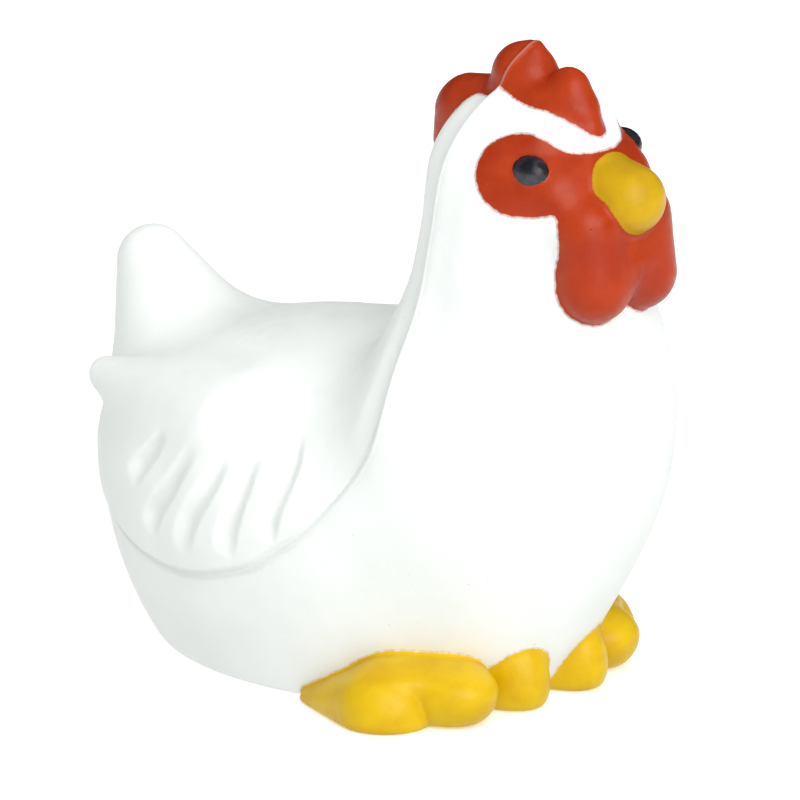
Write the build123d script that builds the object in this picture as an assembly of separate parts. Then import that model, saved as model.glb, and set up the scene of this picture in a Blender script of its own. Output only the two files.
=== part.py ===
from build123d import *

import os

# Rubber squeeze hen, a sitting hen as long as a palm, in millimetres.
# +Z is up and the hen faces -Y; X = 0 is its mirror plane, and its own right side is at -X.
# Two hollow soft-rubber shells meet on one seam. The seam crosses the comb, runs down the side of the neck,
# sweeps back under the wing and goes round the rump. The red, yellow and black zones are solids of their own
# seated on the shells. A push-in squeaker with a reed closes the hole in the base.

# ---- overall size ----
HEIGHT = 85.4  # comb top above the table
FRONT_Y = -45.1  # beak tip
REAR_Y = 45.1  # back of the tail
WALL = 2.4  # shell wall
FLOOR = 3.0  # thicker wall under the belly, which holds the squeaker

# ---- places that several pieces share ----
NECK_Y = -24.1  # upright axis of the neck and head
BELLY_Y = 4.0  # middle of the belly
CROWN_Z = 79.5  # top of the head, under the comb
SMALLEST_HALF_WIDTH = 1.2  # a stacked ellipse smaller than this is left out
TOP_LIFT = 1.2  # how much further the topmost ellipse moves when a stack grows
EYE = (-31.8, 71.8)  # (y, z) of both eyes
EYE_RADIUS = 2.6
BEAK_Z = 68.1
SEAM_Y = -19.2  # the seam on the side of the neck
SEAM_LOW_Z = 14.6  # the seam under the wing

# ---- thickness of what is seated on the shells ----
MASK_DEPTH = 0.5
EYE_DEPTH = 1.0
WING_DEPTH = 0.8

# ---- squeaker, standing in the base ----
SQUEAKER_Y = 6.0
HOLE_R = 10.0  # hole in the belly floor
CUP_R = 9.95
CUP_WALL = 1.2
CUP_TOP_Z = 11.5
FLANGE_R = 12.0
FLANGE_LOW_Z = 0.3
FLANGE_THICK = 1.0
RECESS_R = 12.2
RECESS_DEPTH = 1.35
BEAD_R = 10.9
AIR_HOLE_R = 1.6
CAP_THICK = 1.2
REED_BED = (7.0, 14.0, 4.4)  # width, length and height of the channel under the reed
REED_BED_WALL = 1.0
REED = (4.6, 12.6, 0.3)
REED_OPEN_DEG = 2.0  # the reed's tip stands this far off its bed at rest
CLIP = (7.0, 2.6, 2.2)


# Ellipses stacked up the body: (z, half width, half length, centre y).
TORSO = [
    (0.0, 21.9, 29.1, BELLY_Y),
    (3.0, 23.5, 31.2, BELLY_Y),
    (8.0, 25.5, 34.0, BELLY_Y),
    (15.0, 27.4, 36.4, BELLY_Y),
    (24.4, 28.2, 37.5, BELLY_Y),
    (33.0, 25.1, 33.4, BELLY_Y),
    (38.0, 19.7, 26.2, BELLY_Y),
    (41.0, 13.7, 18.2, BELLY_Y),
    (42.6, 8.1, 10.8, BELLY_Y),
    (43.3, 2.9, 3.8, BELLY_Y),
]
NECK = [
    (12.0, 8.5, 6.5, -21.0),
    (16.0, 14.6, 11.1, -21.9),
    (20.0, 18.1, 13.8, -22.3),
    (25.0, 20.9, 15.9, -22.7),
    (30.0, 22.4, 17.1, -22.9),
    (36.0, 22.9, 17.7, -23.2),
    (42.0, 21.4, 17.7, -23.5),
    (48.0, 18.0, 16.8, -23.8),
    (54.0, 15.2, 15.2, NECK_Y),
    (60.0, 14.0, 14.0, NECK_Y),
    (66.0, 13.2, 13.2, NECK_Y),
    (71.0, 12.3, 12.3, NECK_Y),
    (75.0, 10.1, 10.1, NECK_Y),
    (77.5, 7.5, 7.5, NECK_Y),
    (79.0, 4.7, 4.7, NECK_Y),
    (CROWN_Z, 3.2, 3.2, NECK_Y),
]
TAIL = [
    (20.0, 5.6, 5.6, REAR_Y - 12.8),
    (24.0, 9.6, 9.6, REAR_Y - 12.8),
    (28.0, 11.0, 11.0, REAR_Y - 12.8),
    (32.0, 10.9, 11.2, REAR_Y - 12.5),
    (36.0, 9.3, 10.5, REAR_Y - 11.4),
    (40.0, 7.2, 8.6, REAR_Y - 9.0),
    (44.0, 5.2, 6.2, REAR_Y - 6.2),
    (46.5, 3.9, 4.2, REAR_Y - 4.9),
    (48.0, 2.4, 2.4, REAR_Y - 4.7),
    (48.6, 1.3, 1.3, REAR_Y - 4.7),
]
# Comb lobes from the front one to the one behind the head, and their common root:
# (centre y, centre z, half width, half length, half height).
COMB_LOBES = [
    (-31.8, 78.0, 2.5, 3.7, 5.1),
    (-23.5, HEIGHT - 5.2, 3.9, 4.8, 5.2),
    (-15.8, 75.7, 3.3, 5.3, 3.9),
    (-12.1, 72.6, 2.8, 3.5, 5.2),
    (-26.0, 78.0, 4.7, 8.4, 3.4),
]
MUZZLE = ((0.0, -32.0, 67.4), (7.2, 8.4, 6.9))  # centre and half sizes, behind the beak
# Toes of one foot from the inner one outwards: (centre x, y, z), (half width, half length, half height).
TOES = [
    ((5.5, -22.8, 3.0), (5.1, 8.7, 8.5)),
    ((15.6, -22.2, 3.8), (6.7, 9.7, 4.7)),
    ((20.6, -15.8, 1.2), (6.3, 10.4, 6.6)),
]
WATTLE = ((4.5, -38.0, 60.2), (4.9, 4.9, 7.9))  # centre and half sizes of the left one
WING_TIP = ((17.3, 25.5, 32.6), (4.4, 10.4, 4.6))  # centre and half sizes of the left one, beside the tail
WING_TIP_TURN_DEG = 7.0  # it points back and towards the tail


def stack(levels, grow):
    """A smooth solid through stacked ellipses, its skin moved outwards by grow, or inwards if that is negative.

    The levels also move up or down, more the higher they are, so that the wall is kept at the top.
    """
    low, high = levels[0][0], levels[-1][0]
    faces = []
    for z, half_x, half_y, y in levels:
        if min(half_x, half_y) + grow >= SMALLEST_HALF_WIDTH:
            lift = TOP_LIFT * grow * (z - low) / (high - low)
            faces.append(Pos(0, y, z + lift) * Ellipse(half_x + grow, half_y + grow))
    return loft(faces)


def body_form(grow):
    """Torso, neck with head, and tail in one solid, without comb, beak or feet."""
    return stack(TORSO, grow) + stack(NECK, grow) + stack(TAIL, grow)


def side_prism(outline, half_width=50.0):
    """A solid whose section in the side view (y, z) is the outline, reaching half_width to both sides."""
    face = make_face(Plane.YZ * outline)
    return extrude(face, amount=half_width, both=True)


def ellipsoid(centre, radii):
    return Pos(*centre) * scale(Sphere(1.0), by=tuple(radii))


def upright(radius, low, high, x=0.0, y=SQUEAKER_Y):
    """A standing cylinder between two heights."""
    return Pos(x, y, (low + high) / 2) * Cylinder(radius, high - low)


def block(size, low_z, x=0.0, y=SQUEAKER_Y):
    """A box by width, length and height, standing on low_z."""
    return Pos(x, y, low_z + size[2] / 2) * Box(*size)


# ---- outlines in the side view, as (y, z) ----
def seam_outline():
    """Everything in front of and below the seam."""
    line = Spline(
        (-27.0, 96.0),
        (-25.2, HEIGHT + 1.0),
        (-21.3, 74.7),
        (-20.1, 69.0),
        (SEAM_Y, 58.0),
        (SEAM_Y, 48.0),
        (SEAM_Y, 39.5),
        (-17.2, 33.3),
        (-11.3, 25.4),
        (-6.2, 20.9),
        (-1.0, 17.5),
        (9.5, SEAM_LOW_Z),
        (20.3, 15.0),
        (32.0, 18.6),
        (40.0, 20.0),
        (60.0, 21.0),
    )
    rest = Polyline((60.0, 21.0), (60.0, -10.0), (-70.0, -10.0), (-70.0, 96.0), (-27.0, 96.0))
    return line + rest


def wing_outline():
    """The raised wing, from the shoulder back to the rump."""
    return Spline(
        (-18.0, 43.0),
        (-18.6, 38.0),
        (-15.5, 31.8),
        (-6.0, 21.6),
        (4.0, 16.4),
        (15.0, 15.2),
        (26.4, 17.4),
        (35.5, 22.0),
        (38.0, 33.0),
        (24.0, 39.0),
        (8.0, 42.0),
        periodic=True,
    )


def mask_outline():
    """The red face in front of the eyes, between brow and throat."""
    return Polyline(
        (-32.0, 77.0),
        (-34.5, 75.0),
        (-50.0, 74.2),
        (-50.0, 63.0),
        (-30.0, 66.6),
        (-30.0, 70.0),
        (-32.0, 77.0),
    )


# ---- red, yellow and black zones ----
def beak_form():
    sections = [(-31.0, 5.3), (-36.0, 5.1), (-40.0, 4.6), (-42.7, 3.9), (-44.4, 2.5), (FRONT_Y, 0.8)]
    faces = [Plane((0, y, BEAK_Z), x_dir=(1, 0, 0), z_dir=(0, -1, 0)) * Circle(r) for y, r in sections]
    return loft(faces)


def make_head_parts(skin_outside):
    """Comb halves, face mask, wattles, beak and eyes, each clear of the skin and of the others."""
    seam = side_prism(seam_outline())
    comb = ellipsoid((0, *COMB_LOBES[0][:2]), COMB_LOBES[0][2:])
    for lobe in COMB_LOBES[1:]:
        comb = comb + ellipsoid((0, *lobe[:2]), lobe[2:])
    comb = comb - skin_outside
    beak = beak_form() - skin_outside
    eye_bar = Pos(0, *EYE) * Rot(0, 90, 0) * Cylinder(EYE_RADIUS, 60.0)
    eye_patch = Pos(0, *EYE) * Rot(0, 90, 0) * Cylinder(6.0, 60.0)
    cover = stack(NECK, MASK_DEPTH) - skin_outside
    mask = cover & (side_prism(mask_outline()) + eye_patch)
    mask = mask + (ellipsoid(*MUZZLE) - skin_outside)
    mask = mask - eye_bar - beak_form() - comb
    lens = (stack(NECK, EYE_DEPTH) - skin_outside) & eye_bar
    parts = {"comb_front": comb & seam, "comb_rear": comb - seam, "beak": beak, "face_mask": mask}
    for name, side in (("right", -1), ("left", 1)):
        half = Pos(side * 30.0, 0, 50.0) * Box(60.0, 120.0, 120.0)
        (x, y, z), half_sizes = WATTLE
        wattle = ellipsoid((side * x, y, z), half_sizes) & half
        parts["wattle_" + name] = wattle - skin_outside - mask - beak_form()
        parts["eye_" + name] = lens & half
    return parts


def make_feet(skin_outside):
    """Three rounded toes each; the outer one runs back along the belly."""
    feet = {}
    above = Pos(0, 0, 25.0) * Box(120.0, 120.0, 50.0)
    for name, side in (("right", -1), ("left", 1)):
        inner, middle, outer = [ellipsoid((side * x, y, z), half_sizes) for (x, y, z), half_sizes in TOES]
        feet["foot_" + name] = ((inner + middle + outer) & above) - skin_outside
    return feet


# ---- shells ----
def make_shells():
    """Front and back shell, hollow inside, and the closed outer form that the other pieces are trimmed to."""
    outside = body_form(0.0) + (stack(TORSO, WING_DEPTH) & side_prism(wing_outline()))
    (tip_x, tip_y, tip_z), half_sizes = WING_TIP
    for side in (-1, 1):
        tip = Rot(0, 0, side * WING_TIP_TURN_DEG) * ellipsoid((0, 0, 0), half_sizes)
        outside = outside + Pos(side * tip_x, tip_y, tip_z) * tip
    hollow = body_form(-WALL) & (Pos(0, 0, FLOOR + 50.0) * Box(200.0, 200.0, 100.0))
    skin = outside - hollow
    skin = skin - upright(HOLE_R, -5.0, FLOOR + 5.0) - upright(RECESS_R, -5.0, RECESS_DEPTH)
    seam = side_prism(seam_outline())
    return {"front_shell": skin & seam, "back_shell": skin - seam}, outside


# ---- squeaker ----
def make_squeaker():
    """A cup pushed into the base from below, its cap, and a reed on a channel over the air hole."""
    low = FLANGE_LOW_Z
    cup_floor = low + FLANGE_THICK + 0.2
    cup = upright(CUP_R, low, CUP_TOP_Z) + upright(FLANGE_R, low, low + FLANGE_THICK)
    cup = cup + upright(BEAD_R, FLOOR + 0.05, FLOOR + 1.2)
    cup = cup - upright(CUP_R - CUP_WALL, cup_floor, CUP_TOP_Z + 1.0) - upright(AIR_HOLE_R, -5.0, 5.0)

    spigot_r = CUP_R - CUP_WALL - 0.05
    cap = upright(CUP_R, CUP_TOP_Z, CUP_TOP_Z + CAP_THICK)
    cap = cap + (upright(spigot_r, CUP_TOP_Z - 1.0, CUP_TOP_Z) - upright(spigot_r - 0.9, 0.0, 50.0))
    cap = cap - upright(AIR_HOLE_R, 0.0, 50.0)

    width, length, height = REED_BED
    bed_top = cup_floor + height
    window = (width - 3.4, length - 5.0, height)
    bed = block(REED_BED, cup_floor) - block(window, cup_floor + REED_BED_WALL, y=SQUEAKER_Y - 1.0)
    bed = bed - upright(AIR_HOLE_R, 0.0, cup_floor + REED_BED_WALL + 1.0)

    root = (0.0, SQUEAKER_Y + length / 2 - 1.3, bed_top + 0.25)
    strip_w, strip_l, strip_t = REED
    strip = Pos(0, -strip_l / 2, 0) * Box(strip_w, strip_l, strip_t)
    reed = Pos(*root) * Rot(-REED_OPEN_DEG, 0, 0) * strip

    slot = Pos(0, root[1], bed_top + 0.35) * Box(strip_w + 0.4, CLIP[1] + 2.0, 0.9)
    clip = block(CLIP, bed_top, y=SQUEAKER_Y + (length - CLIP[1]) / 2) - slot
    return {
        "squeaker_cup": cup,
        "squeaker_cap": cap,
        "reed_bed": bed,
        "reed": reed,
        "reed_clip": clip,
    }


shells, outside = make_shells()
parts = {**shells, **make_head_parts(outside), **make_feet(outside), **make_squeaker()}

os.makedirs("parts", exist_ok=True)
whole = Compound(children=[piece for group in parts.values() for piece in group.solids()])
box = whole.bounding_box()
print("overall", box.min, box.max)
for node, shape in parts.items():
    export_step(shape, f"parts/{node}.step")
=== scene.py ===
"""A sitting hen in soft white rubber with painted comb, face, wattles, beak and feet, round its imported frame.

One form in millimetres gives the whole outside. It is cut along the edges of its colours and along the
mould's seam, so that each piece stands for its CAD node and meets its neighbours without a step.
"""
import math

import bpy
import numpy as np
import openvdb
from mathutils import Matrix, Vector
from mathutils.kdtree import KDTree


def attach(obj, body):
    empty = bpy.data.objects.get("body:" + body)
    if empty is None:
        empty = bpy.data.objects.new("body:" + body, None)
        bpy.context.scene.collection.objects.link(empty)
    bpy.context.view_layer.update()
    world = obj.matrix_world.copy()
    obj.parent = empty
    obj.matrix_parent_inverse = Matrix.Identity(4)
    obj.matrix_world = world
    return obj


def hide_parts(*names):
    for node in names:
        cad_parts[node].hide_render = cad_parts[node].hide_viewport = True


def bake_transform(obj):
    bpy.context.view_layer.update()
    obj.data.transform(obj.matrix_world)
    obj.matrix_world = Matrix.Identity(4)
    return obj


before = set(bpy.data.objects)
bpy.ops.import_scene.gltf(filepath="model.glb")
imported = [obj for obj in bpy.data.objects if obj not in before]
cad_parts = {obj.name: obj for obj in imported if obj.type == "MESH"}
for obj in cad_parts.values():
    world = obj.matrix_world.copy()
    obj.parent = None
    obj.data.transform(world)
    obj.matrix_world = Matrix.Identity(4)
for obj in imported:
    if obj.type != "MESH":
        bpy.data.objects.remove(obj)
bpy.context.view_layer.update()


# ---- small maths of solid forms; "at" is (x, y, z) in millimetres, and a form is negative inside ----
def egg(at, centre, side, front, back, up, down):
    """An egg whose radii differ to the front and back, and upwards and downwards."""
    x, y, z = (a - c for a, c in zip(at, centre))
    along = np.where(y < 0, front, back)
    height = np.where(z > 0, up, down)
    near = np.sqrt((x / side) ** 2 + (y / along) ** 2 + (z / height) ** 2)
    slope = np.sqrt((x / side**2) ** 2 + (y / along**2) ** 2 + (z / height**2) ** 2)
    return near * (near - 1) / np.maximum(slope, 1e-4)


def bone(at, start, end, start_r, end_r):
    """A cone with round ends."""
    axis = np.array(end, float) - np.array(start, float)
    length = np.sqrt(axis @ axis)
    axis = axis / length
    x, y, z = (a - s for a, s in zip(at, start))
    along = x * axis[0] + y * axis[1] + z * axis[2]
    off = np.sqrt(np.maximum(x * x + y * y + z * z - along * along, 0))
    slope = (start_r - end_r) / length
    grip = np.sqrt(1 - slope * slope)
    side = off * grip + along * slope - start_r
    start_ball = np.sqrt(off * off + along * along) - start_r
    end_ball = np.sqrt(off * off + (along - length) ** 2) - end_r
    before = along * grip < off * slope
    beyond = (along - length) * grip > off * slope
    return np.where(before, start_ball, np.where(beyond, end_ball, side))


def merge(a, b, soft):
    """Both forms together, with a fillet where they meet."""
    near = np.maximum(soft - np.abs(a - b), 0) / soft
    return np.minimum(a, b) - near * near * soft / 4


def cut(a, b, soft):
    """Form a without form b, with a rounded edge."""
    return -merge(-a, b, soft)


def rise(t):
    """From 0 to 1 as t goes from 0 to 1, smoothly."""
    t = np.clip(t, 0, 1)
    return t * t * (3 - 2 * t)


def both_sides(at):
    """For a form that stands on both sides: it is given at +X only."""
    return np.abs(at[0]), at[1], at[2]


def smooth_line(points, closed, steps=8):
    """Points along a smooth curve through the given ones."""
    p = np.array(points, float)
    if closed:
        p = np.vstack([p[-1], p, p[:2]])
    else:
        p = np.vstack([2 * p[0] - p[1], p, 2 * p[-1] - p[-2]])
    t = (np.arange(steps) / steps)[:, None]
    spans = []
    for a, b, c, d in zip(p[:-3], p[1:-2], p[2:-1], p[3:]):
        spans.append(b + 0.5 * t * ((c - a) + t * ((2 * a - 5 * b + 4 * c - d) + t * (3 * (b - c) + d - a))))
    spans.append(p[-2][None])
    return np.vstack(spans)


def to_line(y, z, line, closed):
    """Distance in the side view to a line.

    It is positive inside a closed line, and on the left of an open one as it runs.
    """
    y, z = np.broadcast_arrays(y, z)
    nearest = np.full(y.shape, 1e9)
    left = np.zeros(y.shape)
    inside = np.zeros(y.shape, bool)
    for (ay, az), (by, bz) in zip(line[:-1], line[1:]):
        run_y, run_z = by - ay, bz - az
        squared = run_y * run_y + run_z * run_z
        if squared < 1e-9:
            continue
        t = np.clip(((y - ay) * run_y + (z - az) * run_z) / squared, 0, 1)
        far = (y - ay - t * run_y) ** 2 + (z - az - t * run_z) ** 2
        left = np.where(far < nearest - 1e-9, run_y * (z - az) - run_z * (y - ay), left)
        nearest = np.minimum(nearest, far)
        if closed and abs(run_z) > 1e-9:
            inside ^= ((az > z) != (bz > z)) & (y < ay + (z - az) / run_z * run_y)
    d = np.sqrt(nearest)
    return np.where(inside if closed else left > 0, d, -d)


# ---- the hen's forms, in millimetres ----
NECK_Y = -24.1  # upright axis of the head
SQUEAKER_Y = 6.0
RECESS_R, RECESS_DEPTH = 12.2, 1.35
HOLE_R, FLOOR = 10.05, 3.0
# The mould's seam in the side view, as (y, z): over the comb, down the neck, under the wing, round the rump.
SEAM = [
    (-27.0, 96.0), (-25.4, 87.0), (-23.0, 81.0), (-21.3, 74.7), (-20.2, 69.0), (-19.0, 58.0),
    (-19.1, 48.0), (-19.4, 39.5), (-17.2, 33.3), (-11.3, 25.4), (-6.2, 20.9), (-1.0, 17.5),
    (9.5, 14.6), (20.3, 14.9), (26.5, 16.6), (32.0, 18.6), (40.0, 20.0), (60.0, 21.0),
]
# The raised wing: from the shoulder down beside the seam, up at the rump and back over the top.
WING = [
    (-18.9, 43.0), (-19.2, 39.2), (-17.0, 33.4), (-11.1, 25.5), (-6.0, 21.0), (-0.9, 17.6), (4.0, 15.8),
    (9.5, 14.7), (15.0, 14.4), (20.3, 15.1), (26.4, 16.8), (31.5, 18.8), (35.5, 22.0), (37.0, 27.0),
    (38.0, 33.0), (34.0, 38.0), (24.0, 39.0), (10.0, 41.0), (-8.0, 45.0),
]
# Creases between the wing's feathers, from the back of the wing to the front.
FURROWS = [
    [(14.4, 32.2), (17.4, 28.4), (21.0, 24.7)],
    [(8.0, 32.0), (11.6, 26.3), (15.2, 21.8), (16.6, 18.6)],
    [(3.1, 31.7), (4.8, 27.7), (8.3, 22.3), (10.2, 17.6)],
    [(-0.9, 32.2), (-0.2, 27.7), (1.4, 22.5), (2.4, 18.9)],
    [(-5.0, 35.3), (-6.0, 30.7), (-4.8, 24.9), (-3.9, 22.5)],
]
FURROW_DEPTH = 1.25
FURROW_WIDTHS = 1.5, 2.3  # to one side, at its top and its foot
WING_STEP = 0.6  # how far the wing stands proud along the seam
CREST, VALLEY = 0.6, 0.5  # how high the seam's crest is on the neck, and how deep the valley behind it
FLASH = 0.16  # how far the mould's parting line stands proud
LEFT_FOOT_CLOSER = 2.3, 2.3  # how far the left foot's outer toes stand in, sideways and back
SEAM_LINE = smooth_line(SEAM, False)
WING_LINE = smooth_line(WING, True)
FURROW_LINES = [smooth_line(furrow, False, 4) for furrow in FURROWS]


def body(at):
    """Belly, breast, neck, head and tail, without wings."""
    belly = egg(at, (0, 4.0, 24.4), 28.2, 37.9, 37.2, 19.0, 38.7)
    breast = egg(at, (0, -19.9, 35.5), 23.0, 20.6, 14.4, 18.0, 25.3)
    neck = bone(at, (0, -24.3, 46), (0, NECK_Y, 66.6), 16.4, 12.6)
    head = egg(at, (0, NECK_Y, 66.6), 12.6, 12.6, 12.6, 13.0, 14)
    tail = bone(at, (0, 32.3, 29.6), (0, 40.4, 44.0), 11.2, 4.7)
    return merge(merge(merge(merge(belly, breast, 8), neck, 6), head, 2), tail, 6)


def comb(at):
    thin = (at[0] / 0.85, at[1], at[2])
    form = bone(thin, (0, -33.2, 75.6), (0, -30.5, 80.1), 2.4, 2.95)
    form = merge(form, bone(thin, (0, -23.2, 80.4), (0, -24.2, 83.0), 4.6, 2.4), 0.8)
    back = bone(thin, (0, -17.1, 75.6), (0, -14.3, 75.6), 4.0, 3.6)
    form = merge(form, merge(back, bone(thin, (0, -11.1, 70.1), (0, -12.4, 74.0), 2.7, 3.5), 2.0), 0.8)
    root = egg(at, (0, -26.0, 78.0), 4.7, 8.4, 9.0, 3.4, 5.0)
    return merge(form, root, 1.2)


def beak(at):
    return bone(at, (0, -34.2, 68.3), (0, -40.7, 67.95), 5.3, 4.45)


def cheeks(at):
    """What leads from the face down into the wattles, the muzzle behind the beak, and the brows over it."""
    side = both_sides(at)
    muzzle = bone(at, (0, -31.0, 67.3), (0, -36.2, 67.4), 8.0, 4.9)
    cheek = bone(side, (5.6, -33.6, 68.2), (4.8, -37.2, 63.5), 4.2, 4.2)
    brow = bone(side, (1.0, -34.2, 73.7), (5.0, -30.6, 75.5), 1.5, 1.8)
    return merge(merge(muzzle, cheek, 2.0), brow, 1.5)


def wattles(at):
    drop = bone(both_sides(at), (4.6, -37.8, 64.6), (4.2, -38.3, 57.3), 4.2, 4.9)
    web = bone(at, (0, -37.5, 62.5), (0, -38.6, 59.6), 4.6, 4.3)
    return merge(drop, web, 2.0)


def eyes(at):
    return egg(both_sides(at), (8.7, -31.8, 71.6), 2.0, 2.7, 2.7, 2.05, 2.05)


def toes(at):
    """Three toes on each foot, the crease between the outer two running out upwards.

    The left foot's two outer toes stand closer to the breast than the right foot's.
    """
    x, y, z = both_sides(at)
    inner = egg((x, y, z), (5.5, -22.8, 3.0), 5.1, 8.6, 9.0, 8.5, 6.0)
    closer = np.where(at[0] > 0, 1.0, 0.0)
    outward = x + LEFT_FOOT_CLOSER[0] * closer, y - LEFT_FOOT_CLOSER[1] * closer, z
    middle = egg(outward, (15.9, -21.9, 4.4), 6.2, 9.7, 10.0, 4.0, 6.0)
    outer = bone(outward, (21.5, -19.0, 1.6), (21.2, -7.1, -0.3), 6.4, 2.4)
    soft = 0.3 + 3.0 * rise((z - 3.8) / 3)
    return merge(merge(inner, middle, 0.3), outer, soft)


def face(at):
    """The painted face: a patch round each eye, the cheeks, a bridge over the beak and the chin."""
    side = both_sides(at)
    patch = egg(side, (9.9, -30.8, 71.4), 5.6, 5.6, 5.6, 5.1, 5.4)
    cheek = bone(side, (9.6, -31.2, 70.5), (6.8, -38.5, 70.3), 3.7, 3.5)
    bridge = bone(side, (6.5, -33.0, 69.6), (0, -37.0, 68.2), 4.3, 5.4)
    chin = bone(side, (5.8, -39.2, 66.0), (5.4, -39.2, 58.0), 4.3, 4.2)
    throat = bone(at, (0, -39.5, 66.0), (0, -40.5, 59.0), 5.5, 5.0)
    return merge(merge(merge(patch, cheek, 1.0), bridge, 2.0), merge(chin, throat, 1.0), 0.6)


def furrow_depth(y, z):
    """The creases between the wing's feathers, as a share of their full depth."""
    y, z = np.broadcast_arrays(y, z)
    total = np.zeros(y.shape)
    for line in FURROW_LINES:
        far = np.full(y.shape, 1e9)
        share = np.zeros(y.shape)
        spans = len(line) - 1
        for span, ((ay, az), (by, bz)) in enumerate(zip(line[:-1], line[1:])):
            run_y, run_z = by - ay, bz - az
            t = np.clip(((y - ay) * run_y + (z - az) * run_z) / (run_y**2 + run_z**2), 0, 1)
            d = (y - ay - t * run_y) ** 2 + (z - az - t * run_z) ** 2
            share = np.where(d < far, (span + t) / spans, share)
            far = np.minimum(far, d)
        narrow, wide = FURROW_WIDTHS
        width = narrow + (wide - narrow) * share
        across = np.maximum(1 - far / width**2, 0) ** 2
        total = np.maximum(total, across * rise(share / 0.5 + 0.15) * rise((1.03 - share) / 0.35))
    return total


def winged_body(at):
    """The body with raised wings, their feathers and the crest and valley along the seam."""
    side = both_sides(at)
    y, z = at[1], at[2]
    behind = to_line(y, z, SEAM_LINE, False)
    inside_wing = to_line(y, z, WING_LINE, True)
    plain = body(at)
    step = WING_STEP * rise(inside_wing / 1.0) * (1 - rise((z - 25) / 8))
    tip = bone(side, (19.0, 8.0, 31.0), (16.0, 33.7, 33.7), 8.0, 2.3)
    winged = merge(plain - step, tip, 4) + FURROW_DEPTH * furrow_depth(y, z)
    form = plain + (winged - plain) * rise(behind / 0.9)
    on_neck = rise((z - 28) / 16)
    crest = np.where(behind < 0, np.exp(-((behind / 2.2) ** 2)), 1 - rise(behind / 1.3))
    valley = rise(behind / 1.5) * (1 - rise((behind - 2.0) / 3)) * rise((z - 34) / 8)
    return form - (CREST * crest * on_neck - VALLEY * valley)


def hen(at):
    """The whole moulding, its outside and the seat of the squeaker."""
    form = winged_body(at)
    form = merge(form, cheeks(at), 3)
    form = merge(form, comb(at), 0.8)
    form = merge(form, beak(at), 0.5)
    form = merge(form, wattles(at), 1.0)
    form = form - FLASH * np.maximum(1 - (to_line(at[1], at[2], SEAM_LINE, False) / 0.4) ** 2, 0)
    form = merge(form, eyes(at), 0.3)
    form = merge(form, toes(at), 0.8)
    form = cut(form, at[2], 1.0)
    off_axis = np.sqrt(at[0] ** 2 + (at[1] - SQUEAKER_Y) ** 2)
    recess = np.maximum(off_axis - RECESS_R, at[2] - RECESS_DEPTH)
    hole = np.maximum(off_axis - HOLE_R, at[2] - FLOOR - 3)
    return cut(cut(form, recess, 0.6), hole, 0.3)


# ---- from the form to a mesh ----
STEP = 0.5  # width of a grid cell
ROOM = ((-33.0, -48.0, -1.5), (33.0, 48.0, 88.0))  # the grid's corners
WALL = 1.2  # how thick the pieces are made
SEAM_LOOPS = (-0.7, -0.4, -0.2, 0.2, 0.4, 1.3)  # lines of points beside the seam, which keep its crest sharp
EDGE_REACH = 3.0  # how far from a paint edge its material can tell the distance


def sample_form():
    """The form on a grid, and the grid's first corner."""
    low, high = ROOM
    x, y, z = (np.arange(a, b + STEP / 2, STEP) for a, b in zip(low, high))
    slabs = [hen((part[:, None, None], y[None, :, None], z[None, None, :])) for part in np.array_split(x, 8)]
    return np.concatenate(slabs).astype(np.float32), np.array(low)


def slope_of(form, points):
    """The form's value and gradient at points."""
    h = 0.04
    x, y, z = points.T
    value = form((x, y, z))
    slope = np.stack([
        form((x + h, y, z)) - form((x - h, y, z)),
        form((x, y + h, z)) - form((x, y - h, z)),
        form((x, y, z + h)) - form((x, y, z - h)),
    ], axis=1) / (2 * h)
    return value, slope


def settle(points, rounds):
    """Moves points onto the hen's surface and gives the surface's normals there."""
    for _ in range(rounds):
        value, slope = slope_of(hen, points)
        size = np.maximum((slope**2).sum(1), 0.05)
        move = np.clip(value / size, -0.4, 0.4)[:, None] * slope
        points = points - move
    slope = slope_of(hen, points)[1]
    return points, slope / np.maximum(np.linalg.norm(slope, axis=1), 1e-6)[:, None]


def skin_of_hen():
    """Points and triangles of the whole surface."""
    values, low = sample_form()
    grid = openvdb.FloatGrid(3.0)
    grid.copyFromArray(values)
    points, quads = grid.convertToQuads(isovalue=0.0)
    points = points.astype(float) * STEP + low
    points = settle(points, 2)[0]
    quads = quads.astype(int)
    short = np.linalg.norm(points[quads[:, 0]] - points[quads[:, 2]], axis=1) < np.linalg.norm(
        points[quads[:, 1]] - points[quads[:, 3]], axis=1)
    split_a = np.concatenate([quads[short][:, [0, 1, 2]], quads[short][:, [0, 2, 3]]])
    split_b = np.concatenate([quads[~short][:, [0, 1, 3]], quads[~short][:, [1, 2, 3]]])
    return points, np.concatenate([split_a, split_b])


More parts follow.
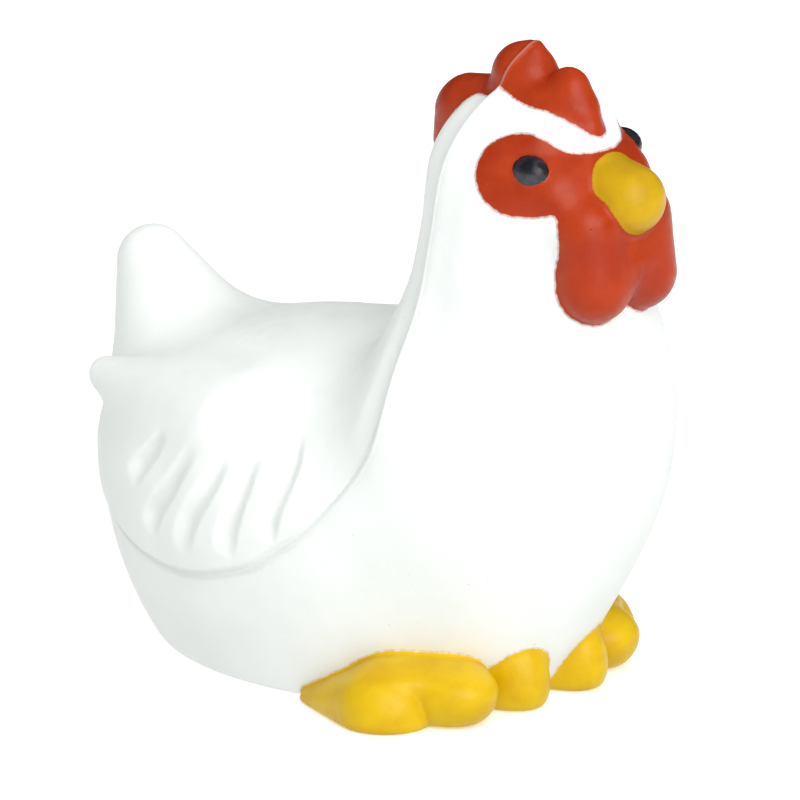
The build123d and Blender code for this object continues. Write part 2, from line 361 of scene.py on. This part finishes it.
def divide(points, triangles, edge_form):
    """Cuts triangles where edge_form is zero. Gives all points, the triangles inside and those outside."""
    value = edge_form(tuple(points.T))
    value = np.where(np.abs(value) < 1e-5, 1e-5, value)
    inside = value[triangles] < 0
    count = inside.sum(1)
    within, without = [triangles[count == 3]], [triangles[count == 0]]
    crossed = triangles[(count == 1) | (count == 2)]
    lone_is_in = (value[crossed] < 0).sum(1) == 1
    lone = np.argmax((value[crossed] < 0) == lone_is_in[:, None], axis=1)
    rows = np.arange(len(crossed))
    a, b, c = (crossed[rows, (lone + k) % 3] for k in range(3))
    ends = np.sort(np.concatenate([np.stack([a, b], 1), np.stack([a, c], 1)]), axis=1)
    edges, which = np.unique(ends, axis=0, return_inverse=True)
    which = which.reshape(-1)
    v0, v1 = value[edges[:, 0]], value[edges[:, 1]]
    share = (v0 / (v0 - v1))[:, None]
    new = points[edges[:, 0]] * (1 - share) + points[edges[:, 1]] * share
    ab, ac = len(points) + which[: len(a)], len(points) + which[len(a):]
    tip = np.stack([a, ab, ac], 1)
    base = np.concatenate([np.stack([ab, b, c], 1), np.stack([ab, c, ac], 1)])
    base_is_in = np.concatenate([~lone_is_in, ~lone_is_in])
    within += [tip[lone_is_in], base[base_is_in]]
    without += [tip[~lone_is_in], base[~base_is_in]]
    return np.vstack([points, new]), np.concatenate(within), np.concatenate(without)


def with_wall(points, normals, triangles):
    """Adds an inner side and a rim to an open surface.

    Gives all points, the triangles, the rim's quads, the outer points' normals and the rim's edges.
    """
    used, corner = np.unique(triangles, return_inverse=True)
    triangles = corner.reshape(-1, 3)
    outer, up = points[used], normals[used]
    inner = outer - up * WALL
    sides = np.concatenate([triangles[:, [0, 1]], triangles[:, [1, 2]], triangles[:, [2, 0]]])
    key = np.sort(sides, axis=1)
    _, first, times = np.unique(key, axis=0, return_index=True, return_counts=True)
    rim = sides[first[times == 1]]
    n = len(outer)
    back = triangles[:, ::-1] + n
    walls = np.stack([rim[:, 1], rim[:, 0], rim[:, 0] + n, rim[:, 1] + n], axis=1)
    return np.vstack([outer, inner]), np.concatenate([triangles, back]), walls, up, rim


def make_piece(name, points, normals, triangles):
    """A mesh object in metres. Its shading comes from the form, so it runs on over the border of a piece."""
    verts, tris, walls, up, rim = with_wall(points, normals, triangles)
    mesh = bpy.data.meshes.new(name)
    mesh.from_pydata((verts / 1000).tolist(), [], tris.tolist() + walls.tolist())
    mesh.update()
    n = len(up)
    corner_verts = np.empty(len(mesh.loops), int)
    mesh.loops.foreach_get("vertex_index", corner_verts)
    both = np.vstack([up, -up])
    corner_normals = both[corner_verts]
    first_wall_corner = 3 * len(tris)
    flat = np.cross(verts[walls[:, 1]] - verts[walls[:, 0]], verts[walls[:, 3]] - verts[walls[:, 0]])
    flat = flat / np.maximum(np.linalg.norm(flat, axis=1), 1e-9)[:, None]
    corner_normals[first_wall_corner:] = np.repeat(flat, 4, axis=0)
    mesh.polygons.foreach_set("use_smooth", np.ones(len(mesh.polygons), bool))
    ends = np.empty(len(mesh.edges) * 2, int)
    mesh.edges.foreach_get("vertices", ends)
    ends = ends.reshape(-1, 2)
    on_rim = np.zeros(2 * n, bool)
    on_rim[np.unique(rim)] = True
    on_rim[n:] = on_rim[:n]
    sharp = on_rim[ends].all(axis=1)
    mesh.attributes.new("sharp_edge", "BOOLEAN", "EDGE").data.foreach_set("value", sharp)
    mesh.normals_split_custom_set(corner_normals.tolist())
    piece = bpy.data.objects.new(name, mesh)
    bpy.context.scene.collection.objects.link(piece)
    return piece


def add_field(piece, name, form):
    """Keeps a form's value on the piece, in millimetres, for its material."""
    co = np.empty(len(piece.data.vertices) * 3)
    piece.data.vertices.foreach_get("co", co)
    value = form(tuple(co.reshape(-1, 3).T * 1000))
    piece.data.attributes.new(name, "FLOAT", "POINT").data.foreach_set("value", value.astype(np.float32))


def border_points(points, triangles, others):
    """The points that these triangles share with the others."""
    return points[np.intersect1d(triangles, others)]


def add_distance(piece, name, border):
    """Keeps each point's distance from a border on the piece, in millimetres up to EDGE_REACH."""
    tree = KDTree(len(border))
    for index, point in enumerate(border):
        tree.insert(point, index)
    tree.balance()
    co = np.empty(len(piece.data.vertices) * 3)
    piece.data.vertices.foreach_get("co", co)
    far = np.full(len(co) // 3, EDGE_REACH)
    places = co.reshape(-1, 3) * 1000
    low, high = border.min(0) - EDGE_REACH, border.max(0) + EDGE_REACH
    near = np.flatnonzero(((places > low) & (places < high)).all(1))
    for index in near:
        far[index] = min(tree.find(places[index])[2], EDGE_REACH)
    piece.data.attributes.new(name, "FLOAT", "POINT").data.foreach_set("value", far.astype(np.float32))


# ---- where one colour or piece ends ----
COMB_EDGE, WATTLE_EDGE, BEAK_EDGE, TOE_EDGE, EYE_EDGE = 0.35, 0.3, 0.15, 0.45, 0.1


def red_comb(at):
    return comb(at) - COMB_EDGE


def red_wattles(at):
    return wattles(at) - WATTLE_EDGE


def yellow_beak(at):
    return beak(at) - BEAK_EDGE


def yellow_toes(at):
    return toes(at) - TOE_EDGE


def black_eyes(at):
    return eyes(at) - EYE_EDGE


def right_side(at):
    return at[0] + 0.0


def front_of_seam(at):
    """Negative in front of and below the mould's seam."""
    return to_line(at[1], at[2], SEAM_LINE, False)


def inside_hole(at):
    """The closed end of the squeaker's hole, which is left out so that the hen is hollow."""
    off_axis = np.sqrt(at[0] ** 2 + (at[1] - SQUEAKER_Y) ** 2)
    return np.maximum(off_axis - HOLE_R - 0.6, np.abs(at[2] - FLOOR - 3.5) - 3.5)


def cut_hen():
    """Cuts the surface into the pieces: {name: triangles}, with the points and normals that they share."""
    points, rest = skin_of_hen()
    for beside in SEAM_LOOPS:
        points, front, rear = divide(points, rest, lambda at, beside=beside: front_of_seam(at) - beside)
        rest = np.concatenate([front, rear])
    points, _, rest = divide(points, rest, inside_hole)
    pieces = {}
    zones = (("eye", black_eyes), ("beak", yellow_beak), ("wattle", red_wattles), ("face_mask", face),
             ("comb", red_comb), ("foot", yellow_toes))
    for name, edge_form in zones:
        points, pieces[name], rest = divide(points, rest, edge_form)
    pieces["shell"] = rest
    for name in ("eye", "wattle", "foot"):
        points, right, left = divide(points, pieces.pop(name), right_side)
        pieces[name + "_right"], pieces[name + "_left"] = right, left
    points, front, rear = divide(points, pieces.pop("comb"), front_of_seam)
    pieces["comb_front"], pieces["comb_rear"] = front, rear
    points, front, rear = divide(points, pieces.pop("shell"), front_of_seam)
    pieces["front_shell"], pieces["back_shell"] = front, rear
    points, normals = settle(points, 1)
    return points, normals, pieces


# ---- materials ----
class Nodes:
    """A material's node tree, with short ways to add what the rubber needs."""

    def __init__(self, name):
        self.material = bpy.data.materials.new(name)
        self.material.use_nodes = True
        self.tree = self.material.node_tree
        self.shader = self.tree.nodes["Principled BSDF"]
        self.place = self.tree.nodes.new("ShaderNodeTexCoord").outputs["Object"]

    def link(self, a, b):
        self.tree.links.new(a, b)

    def fill(self, socket, value):
        if isinstance(value, bpy.types.NodeSocket):
            self.link(value, socket)
        else:
            socket.default_value = value

    def noise(self, size_mm, detail=2.0, roughness=0.5):
        """Even noise from 0 to 1 whose grains are about size_mm wide."""
        node = self.tree.nodes.new("ShaderNodeTexNoise")
        node.inputs["Scale"].default_value = 1000 / size_mm
        node.inputs["Detail"].default_value = detail
        node.inputs["Roughness"].default_value = roughness
        self.link(self.place, node.inputs["Vector"])
        return node.outputs["Fac"]

    def cells(self, size_mm):
        """Distance to the nearest of many scattered points, about size_mm apart."""
        node = self.tree.nodes.new("ShaderNodeTexVoronoi")
        node.inputs["Scale"].default_value = 1000 / size_mm
        self.link(self.place, node.inputs["Vector"])
        return node.outputs["Distance"]

    def math(self, operation, a, b=0.0):
        node = self.tree.nodes.new("ShaderNodeMath")
        node.operation = operation
        self.fill(node.inputs[0], a)
        self.fill(node.inputs[1], b)
        return node.outputs[0]

    def ramp(self, value, low, high, at_low=0.0, at_high=1.0):
        """at_low where value is low, at_high where it is high, and smooth between."""
        node = self.tree.nodes.new("ShaderNodeMapRange")
        node.interpolation_type = "SMOOTHSTEP"
        self.fill(node.inputs["Value"], value)
        for name, number in (("From Min", low), ("From Max", high), ("To Min", at_low), ("To Max", at_high)):
            node.inputs[name].default_value = number
        return node.outputs["Result"]

    def blend(self, share, a, b):
        """Colour a where share is 0 and b where it is 1."""
        node = self.tree.nodes.new("ShaderNodeMix")
        node.data_type = "RGBA"
        self.fill(node.inputs["Factor"], share)
        for socket, value in ((node.inputs[6], a), (node.inputs[7], b)):
            self.fill(socket, value if isinstance(value, bpy.types.NodeSocket) else (*value, 1.0))
        return node.outputs[2]

    def field(self, name):
        """A number kept on the piece's points."""
        node = self.tree.nodes.new("ShaderNodeAttribute")
        node.attribute_name = name
        return node.outputs["Fac"]

    def bump(self, height, depth_mm, before=None):
        node = self.tree.nodes.new("ShaderNodeBump")
        node.inputs["Distance"].default_value = depth_mm / 1000
        self.fill(node.inputs["Height"], height)
        if before is not None:
            self.link(before, node.inputs["Normal"])
        return node.outputs["Normal"]

    def set(self, **values):
        for name, value in values.items():
            self.fill(self.shader.inputs[name.replace("_", " ")], value)


WHITE = (0.88, 0.89, 0.87)
WHITE_SHADE = (0.83, 0.85, 0.82)
RED = (0.40, 0.034, 0.002)
RED_DARK = (0.34, 0.024, 0.001)
YELLOW = (0.66, 0.42, 0.0)
YELLOW_DARK = (0.58, 0.34, 0.0)
BEAK_YELLOW = (0.48, 0.275, 0.0)
BLACK = (0.010, 0.011, 0.016)
RAGGED_EDGE = -0.04, 0.10  # how far a paint edge wanders to either side, in millimetres


def rubber_grain(nodes):
    """The fine matt grain that the mould leaves, with a few pinholes."""
    grain = nodes.bump(nodes.noise(0.35, 3.0), 0.03)
    wave = nodes.bump(nodes.noise(4.0, 1.0), 0.10, grain)
    pin = nodes.ramp(nodes.cells(3.2), 0.0, 0.055, 1.0, 0.0)
    return nodes.bump(nodes.math("MULTIPLY", pin, -1.0), 0.08, wave)


def white_rubber():
    """Bare rubber, with overspray along the painted zones."""
    nodes = Nodes("white_rubber")
    base = nodes.blend(nodes.ramp(nodes.noise(14.0, 2.0), 0.35, 0.7), WHITE, WHITE_SHADE)
    ragged = nodes.ramp(nodes.noise(0.7, 3.0), 0.3, 0.7, *RAGGED_EDGE)
    for field, colour in (("red_edge", RED), ("yellow_edge", YELLOW)):
        spray = nodes.math("ADD", nodes.field(field), ragged)
        base = nodes.blend(nodes.ramp(spray, 0.0, 0.3, 0.6, 0.0), base, colour)
    nodes.set(Base_Color=base, Roughness=nodes.ramp(nodes.noise(2.0), 0.3, 0.7, 0.48, 0.60),
              Normal=rubber_grain(nodes))
    nodes.set(Subsurface_Weight=0.25, Subsurface_Scale=0.004, IOR=1.45)
    nodes.shader.inputs["Subsurface Radius"].default_value = (1.0, 0.9, 0.8)
    return nodes.material


def painted_rubber(name, colour, dark, under, roughness):
    """Paint on the rubber: thin near its edge, where the colour under it comes through."""
    nodes = Nodes(name)
    base = nodes.blend(nodes.ramp(nodes.noise(5.0, 3.0), 0.35, 0.7), colour, dark)
    speck = nodes.ramp(nodes.noise(0.45, 2.0), 0.62, 0.72)
    base = nodes.blend(nodes.math("MULTIPLY", speck, 0.25), base, dark)
    ragged = nodes.ramp(nodes.noise(0.7, 3.0), 0.3, 0.7, *RAGGED_EDGE)
    thin = nodes.math("SUBTRACT", nodes.field("edge"), ragged)
    base = nodes.blend(nodes.ramp(thin, -0.1, 0.2, 0.7, 0.0), base, under)
    parting = nodes.ramp(nodes.math("ABSOLUTE", nodes.field("seam")), 0.05, 0.25, 0.14, 0.0)
    base = nodes.blend(parting, base, under)
    nodes.set(Base_Color=base, Normal=rubber_grain(nodes),
              Roughness=nodes.ramp(nodes.noise(1.2), 0.3, 0.7, roughness - 0.05, roughness + 0.08))
    nodes.set(IOR=1.45, Specular_IOR_Level=0.3, Subsurface_Weight=0.05, Subsurface_Scale=0.002)
    return nodes.material


def eye_paint():
    nodes = Nodes("eye_paint")
    base = nodes.blend(nodes.ramp(nodes.noise(1.5, 3.0), 0.4, 0.7), BLACK, (0.03, 0.032, 0.04))
    nodes.set(Base_Color=base, Roughness=nodes.ramp(nodes.noise(0.8), 0.3, 0.7, 0.30, 0.42),
              Normal=nodes.bump(nodes.noise(0.4, 2.0), 0.02))
    return nodes.material


def squeaker_plastic():
    nodes = Nodes("squeaker_plastic")
    base = nodes.blend(nodes.ramp(nodes.noise(3.0, 2.0), 0.35, 0.7), (0.80, 0.80, 0.75), (0.72, 0.72, 0.66))
    nodes.set(Base_Color=base, Roughness=nodes.ramp(nodes.noise(0.8), 0.3, 0.7, 0.32, 0.45),
              Normal=nodes.bump(nodes.noise(0.6, 2.0), 0.03))
    nodes.set(Subsurface_Weight=0.1, Subsurface_Scale=0.001)
    return nodes.material


def reed_film():
    nodes = Nodes("reed_film")
    base = nodes.blend(nodes.ramp(nodes.noise(1.0, 2.0), 0.35, 0.7), (0.74, 0.78, 0.80), (0.66, 0.70, 0.73))
    nodes.set(Base_Color=base, Roughness=nodes.ramp(nodes.noise(0.5), 0.3, 0.7, 0.15, 0.28),
              Normal=nodes.bump(nodes.noise(0.8, 1.0), 0.01))
    nodes.set(Transmission_Weight=0.2)
    return nodes.material


def dress(piece, node, material):
    """Gives a piece its material and lets it stand for its CAD node."""
    piece.data.materials.append(material)
    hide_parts(node)


def make_pieces():
    points, normals, zones = cut_hen()
    white = white_rubber()
    red = painted_rubber("red_rubber", RED, RED_DARK, WHITE, 0.38)
    yellow = painted_rubber("yellow_rubber", YELLOW, YELLOW_DARK, WHITE, 0.38)
    beak_yellow = painted_rubber("beak_rubber", BEAK_YELLOW, YELLOW_DARK, RED, 0.38)
    black = eye_paint()
    looks = {
        "front_shell": ("white_rubber", white), "back_shell": ("white_rubber", white),
        "comb_front": ("red_rubber", red), "comb_rear": ("red_rubber", red), "face_mask": ("red_rubber", red),
        "wattle_right": ("red_rubber", red), "wattle_left": ("red_rubber", red),
        "beak": ("yellow_rubber", beak_yellow), "foot_right": ("yellow_rubber", yellow),
        "foot_left": ("yellow_rubber", yellow),
        "eye_right": ("eye_paint", black), "eye_left": ("eye_paint", black),
    }
    red_zones = np.concatenate([zones[name] for name in looks if looks[name][0] == "red_rubber"])
    feet = np.concatenate([zones["foot_right"], zones["foot_left"]])
    shells = np.concatenate([zones["front_shell"], zones["back_shell"]])
    red_border = border_points(points, red_zones, shells)
    beak_border = border_points(points, zones["beak"], np.concatenate([red_zones, shells]))
    foot_border = border_points(points, feet, shells)
    for node, (slot, material) in looks.items():
        piece = make_piece(node + "_skin", points, normals, zones[node])
        dress(piece, node, material)
        add_field(piece, "seam", front_of_seam)
        if slot == "red_rubber":
            add_distance(piece, "edge", red_border)
        elif node == "beak":
            add_distance(piece, "edge", beak_border)
        elif node.startswith("foot"):
            add_distance(piece, "edge", foot_border)
        if node in ("front_shell", "back_shell"):
            add_distance(piece, "red_edge", red_border)
            add_distance(piece, "yellow_edge", foot_border)
            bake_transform(piece)
        elif node.startswith("foot"):
            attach(piece, "body")
        else:
            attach(piece, "head")


def finish_squeaker():
    """The CAD shapes of the squeaker are right as they are, so they only get their materials."""
    plastic, film = squeaker_plastic(), reed_film()
    for name in ("squeaker_cup", "squeaker_cap", "reed_bed", "reed_clip", "reed"):
        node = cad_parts[name]
        node.data.materials.clear()
        node.data.materials.append(film if name == "reed" else plastic)


# ---- floor, light and camera ----
AIM = (0.0, -0.0021, 0.0339)
AZIMUTH, ELEVATION = math.radians(-48), math.radians(17)
DISTANCE = 2.0
VIEW_WIDTH = 0.1013  # how wide the picture is, at the hen
FLOOR_REACH = 6.0  # from the middle of the floor to its edges


def direction(azimuth, elevation):
    """Away from the hen; azimuth 0 is in front of it, and 90 on its left."""
    return Vector((math.sin(azimuth) * math.cos(elevation), -math.cos(azimuth) * math.cos(elevation),
                   math.sin(elevation)))


def make_camera():
    camera = bpy.data.objects.new("camera", bpy.data.cameras.new("camera"))
    back = direction(AZIMUTH, ELEVATION)
    camera.location = Vector(AIM) + back * DISTANCE
    camera.rotation_euler = (-back).to_track_quat("-Z", "Y").to_euler()
    camera.data.lens = camera.data.sensor_width * DISTANCE / VIEW_WIDTH
    camera.data.clip_start, camera.data.clip_end = 0.05, 20.0
    bpy.context.scene.collection.objects.link(camera)
    bpy.context.scene.camera = camera


def area_light(name, azimuth, elevation, distance, size, watts):
    light = bpy.data.objects.new(name, bpy.data.lights.new(name, "AREA"))
    light.data.shape = "DISK"
    light.data.size = size
    light.data.energy = watts
    out = direction(math.radians(azimuth), math.radians(elevation))
    light.location = Vector((0, 0, 0.04)) + out * distance
    light.rotation_euler = (-out).to_track_quat("-Z", "Y").to_euler()
    bpy.context.scene.collection.objects.link(light)


def make_studio():
    world = bpy.data.worlds.new("studio")
    world.use_nodes = True
    world.node_tree.nodes["Background"].inputs["Color"].default_value = (0.97, 1.0, 0.985, 1.0)
    world.node_tree.nodes["Background"].inputs["Strength"].default_value = 0.85
    bpy.context.scene.world = world
    world.cycles_visibility.glossy = False  # only the key light makes highlights
    area_light("key", -26, 30, 1.2, 1.2, 12.5)
    floor_mesh = bpy.data.meshes.new("floor")
    corners = [(FLOOR_REACH * x, FLOOR_REACH * y, 0) for x, y in ((-1, -1), (1, -1), (1, 1), (-1, 1))]
    floor_mesh.from_pydata(corners, [], [(0, 1, 2, 3)])
    floor = bpy.data.objects.new("floor", floor_mesh)
    nodes = Nodes("floor_paper")
    paper = nodes.blend(nodes.noise(40.0), (0.93, 0.93, 0.93), (0.95, 0.95, 0.95))
    nodes.set(Base_Color=paper, Roughness=0.9)
    nodes.set(Emission_Color=(1.0, 1.0, 1.0, 1.0), Emission_Strength=0.3)
    floor_mesh.materials.append(nodes.material)
    bpy.context.scene.collection.objects.link(floor)
    floor.visible_diffuse = False  # the paper throws no light back at the hen
    bpy.context.scene.view_settings.view_transform = "Standard"


make_camera()
make_studio()
make_pieces()
finish_squeaker()
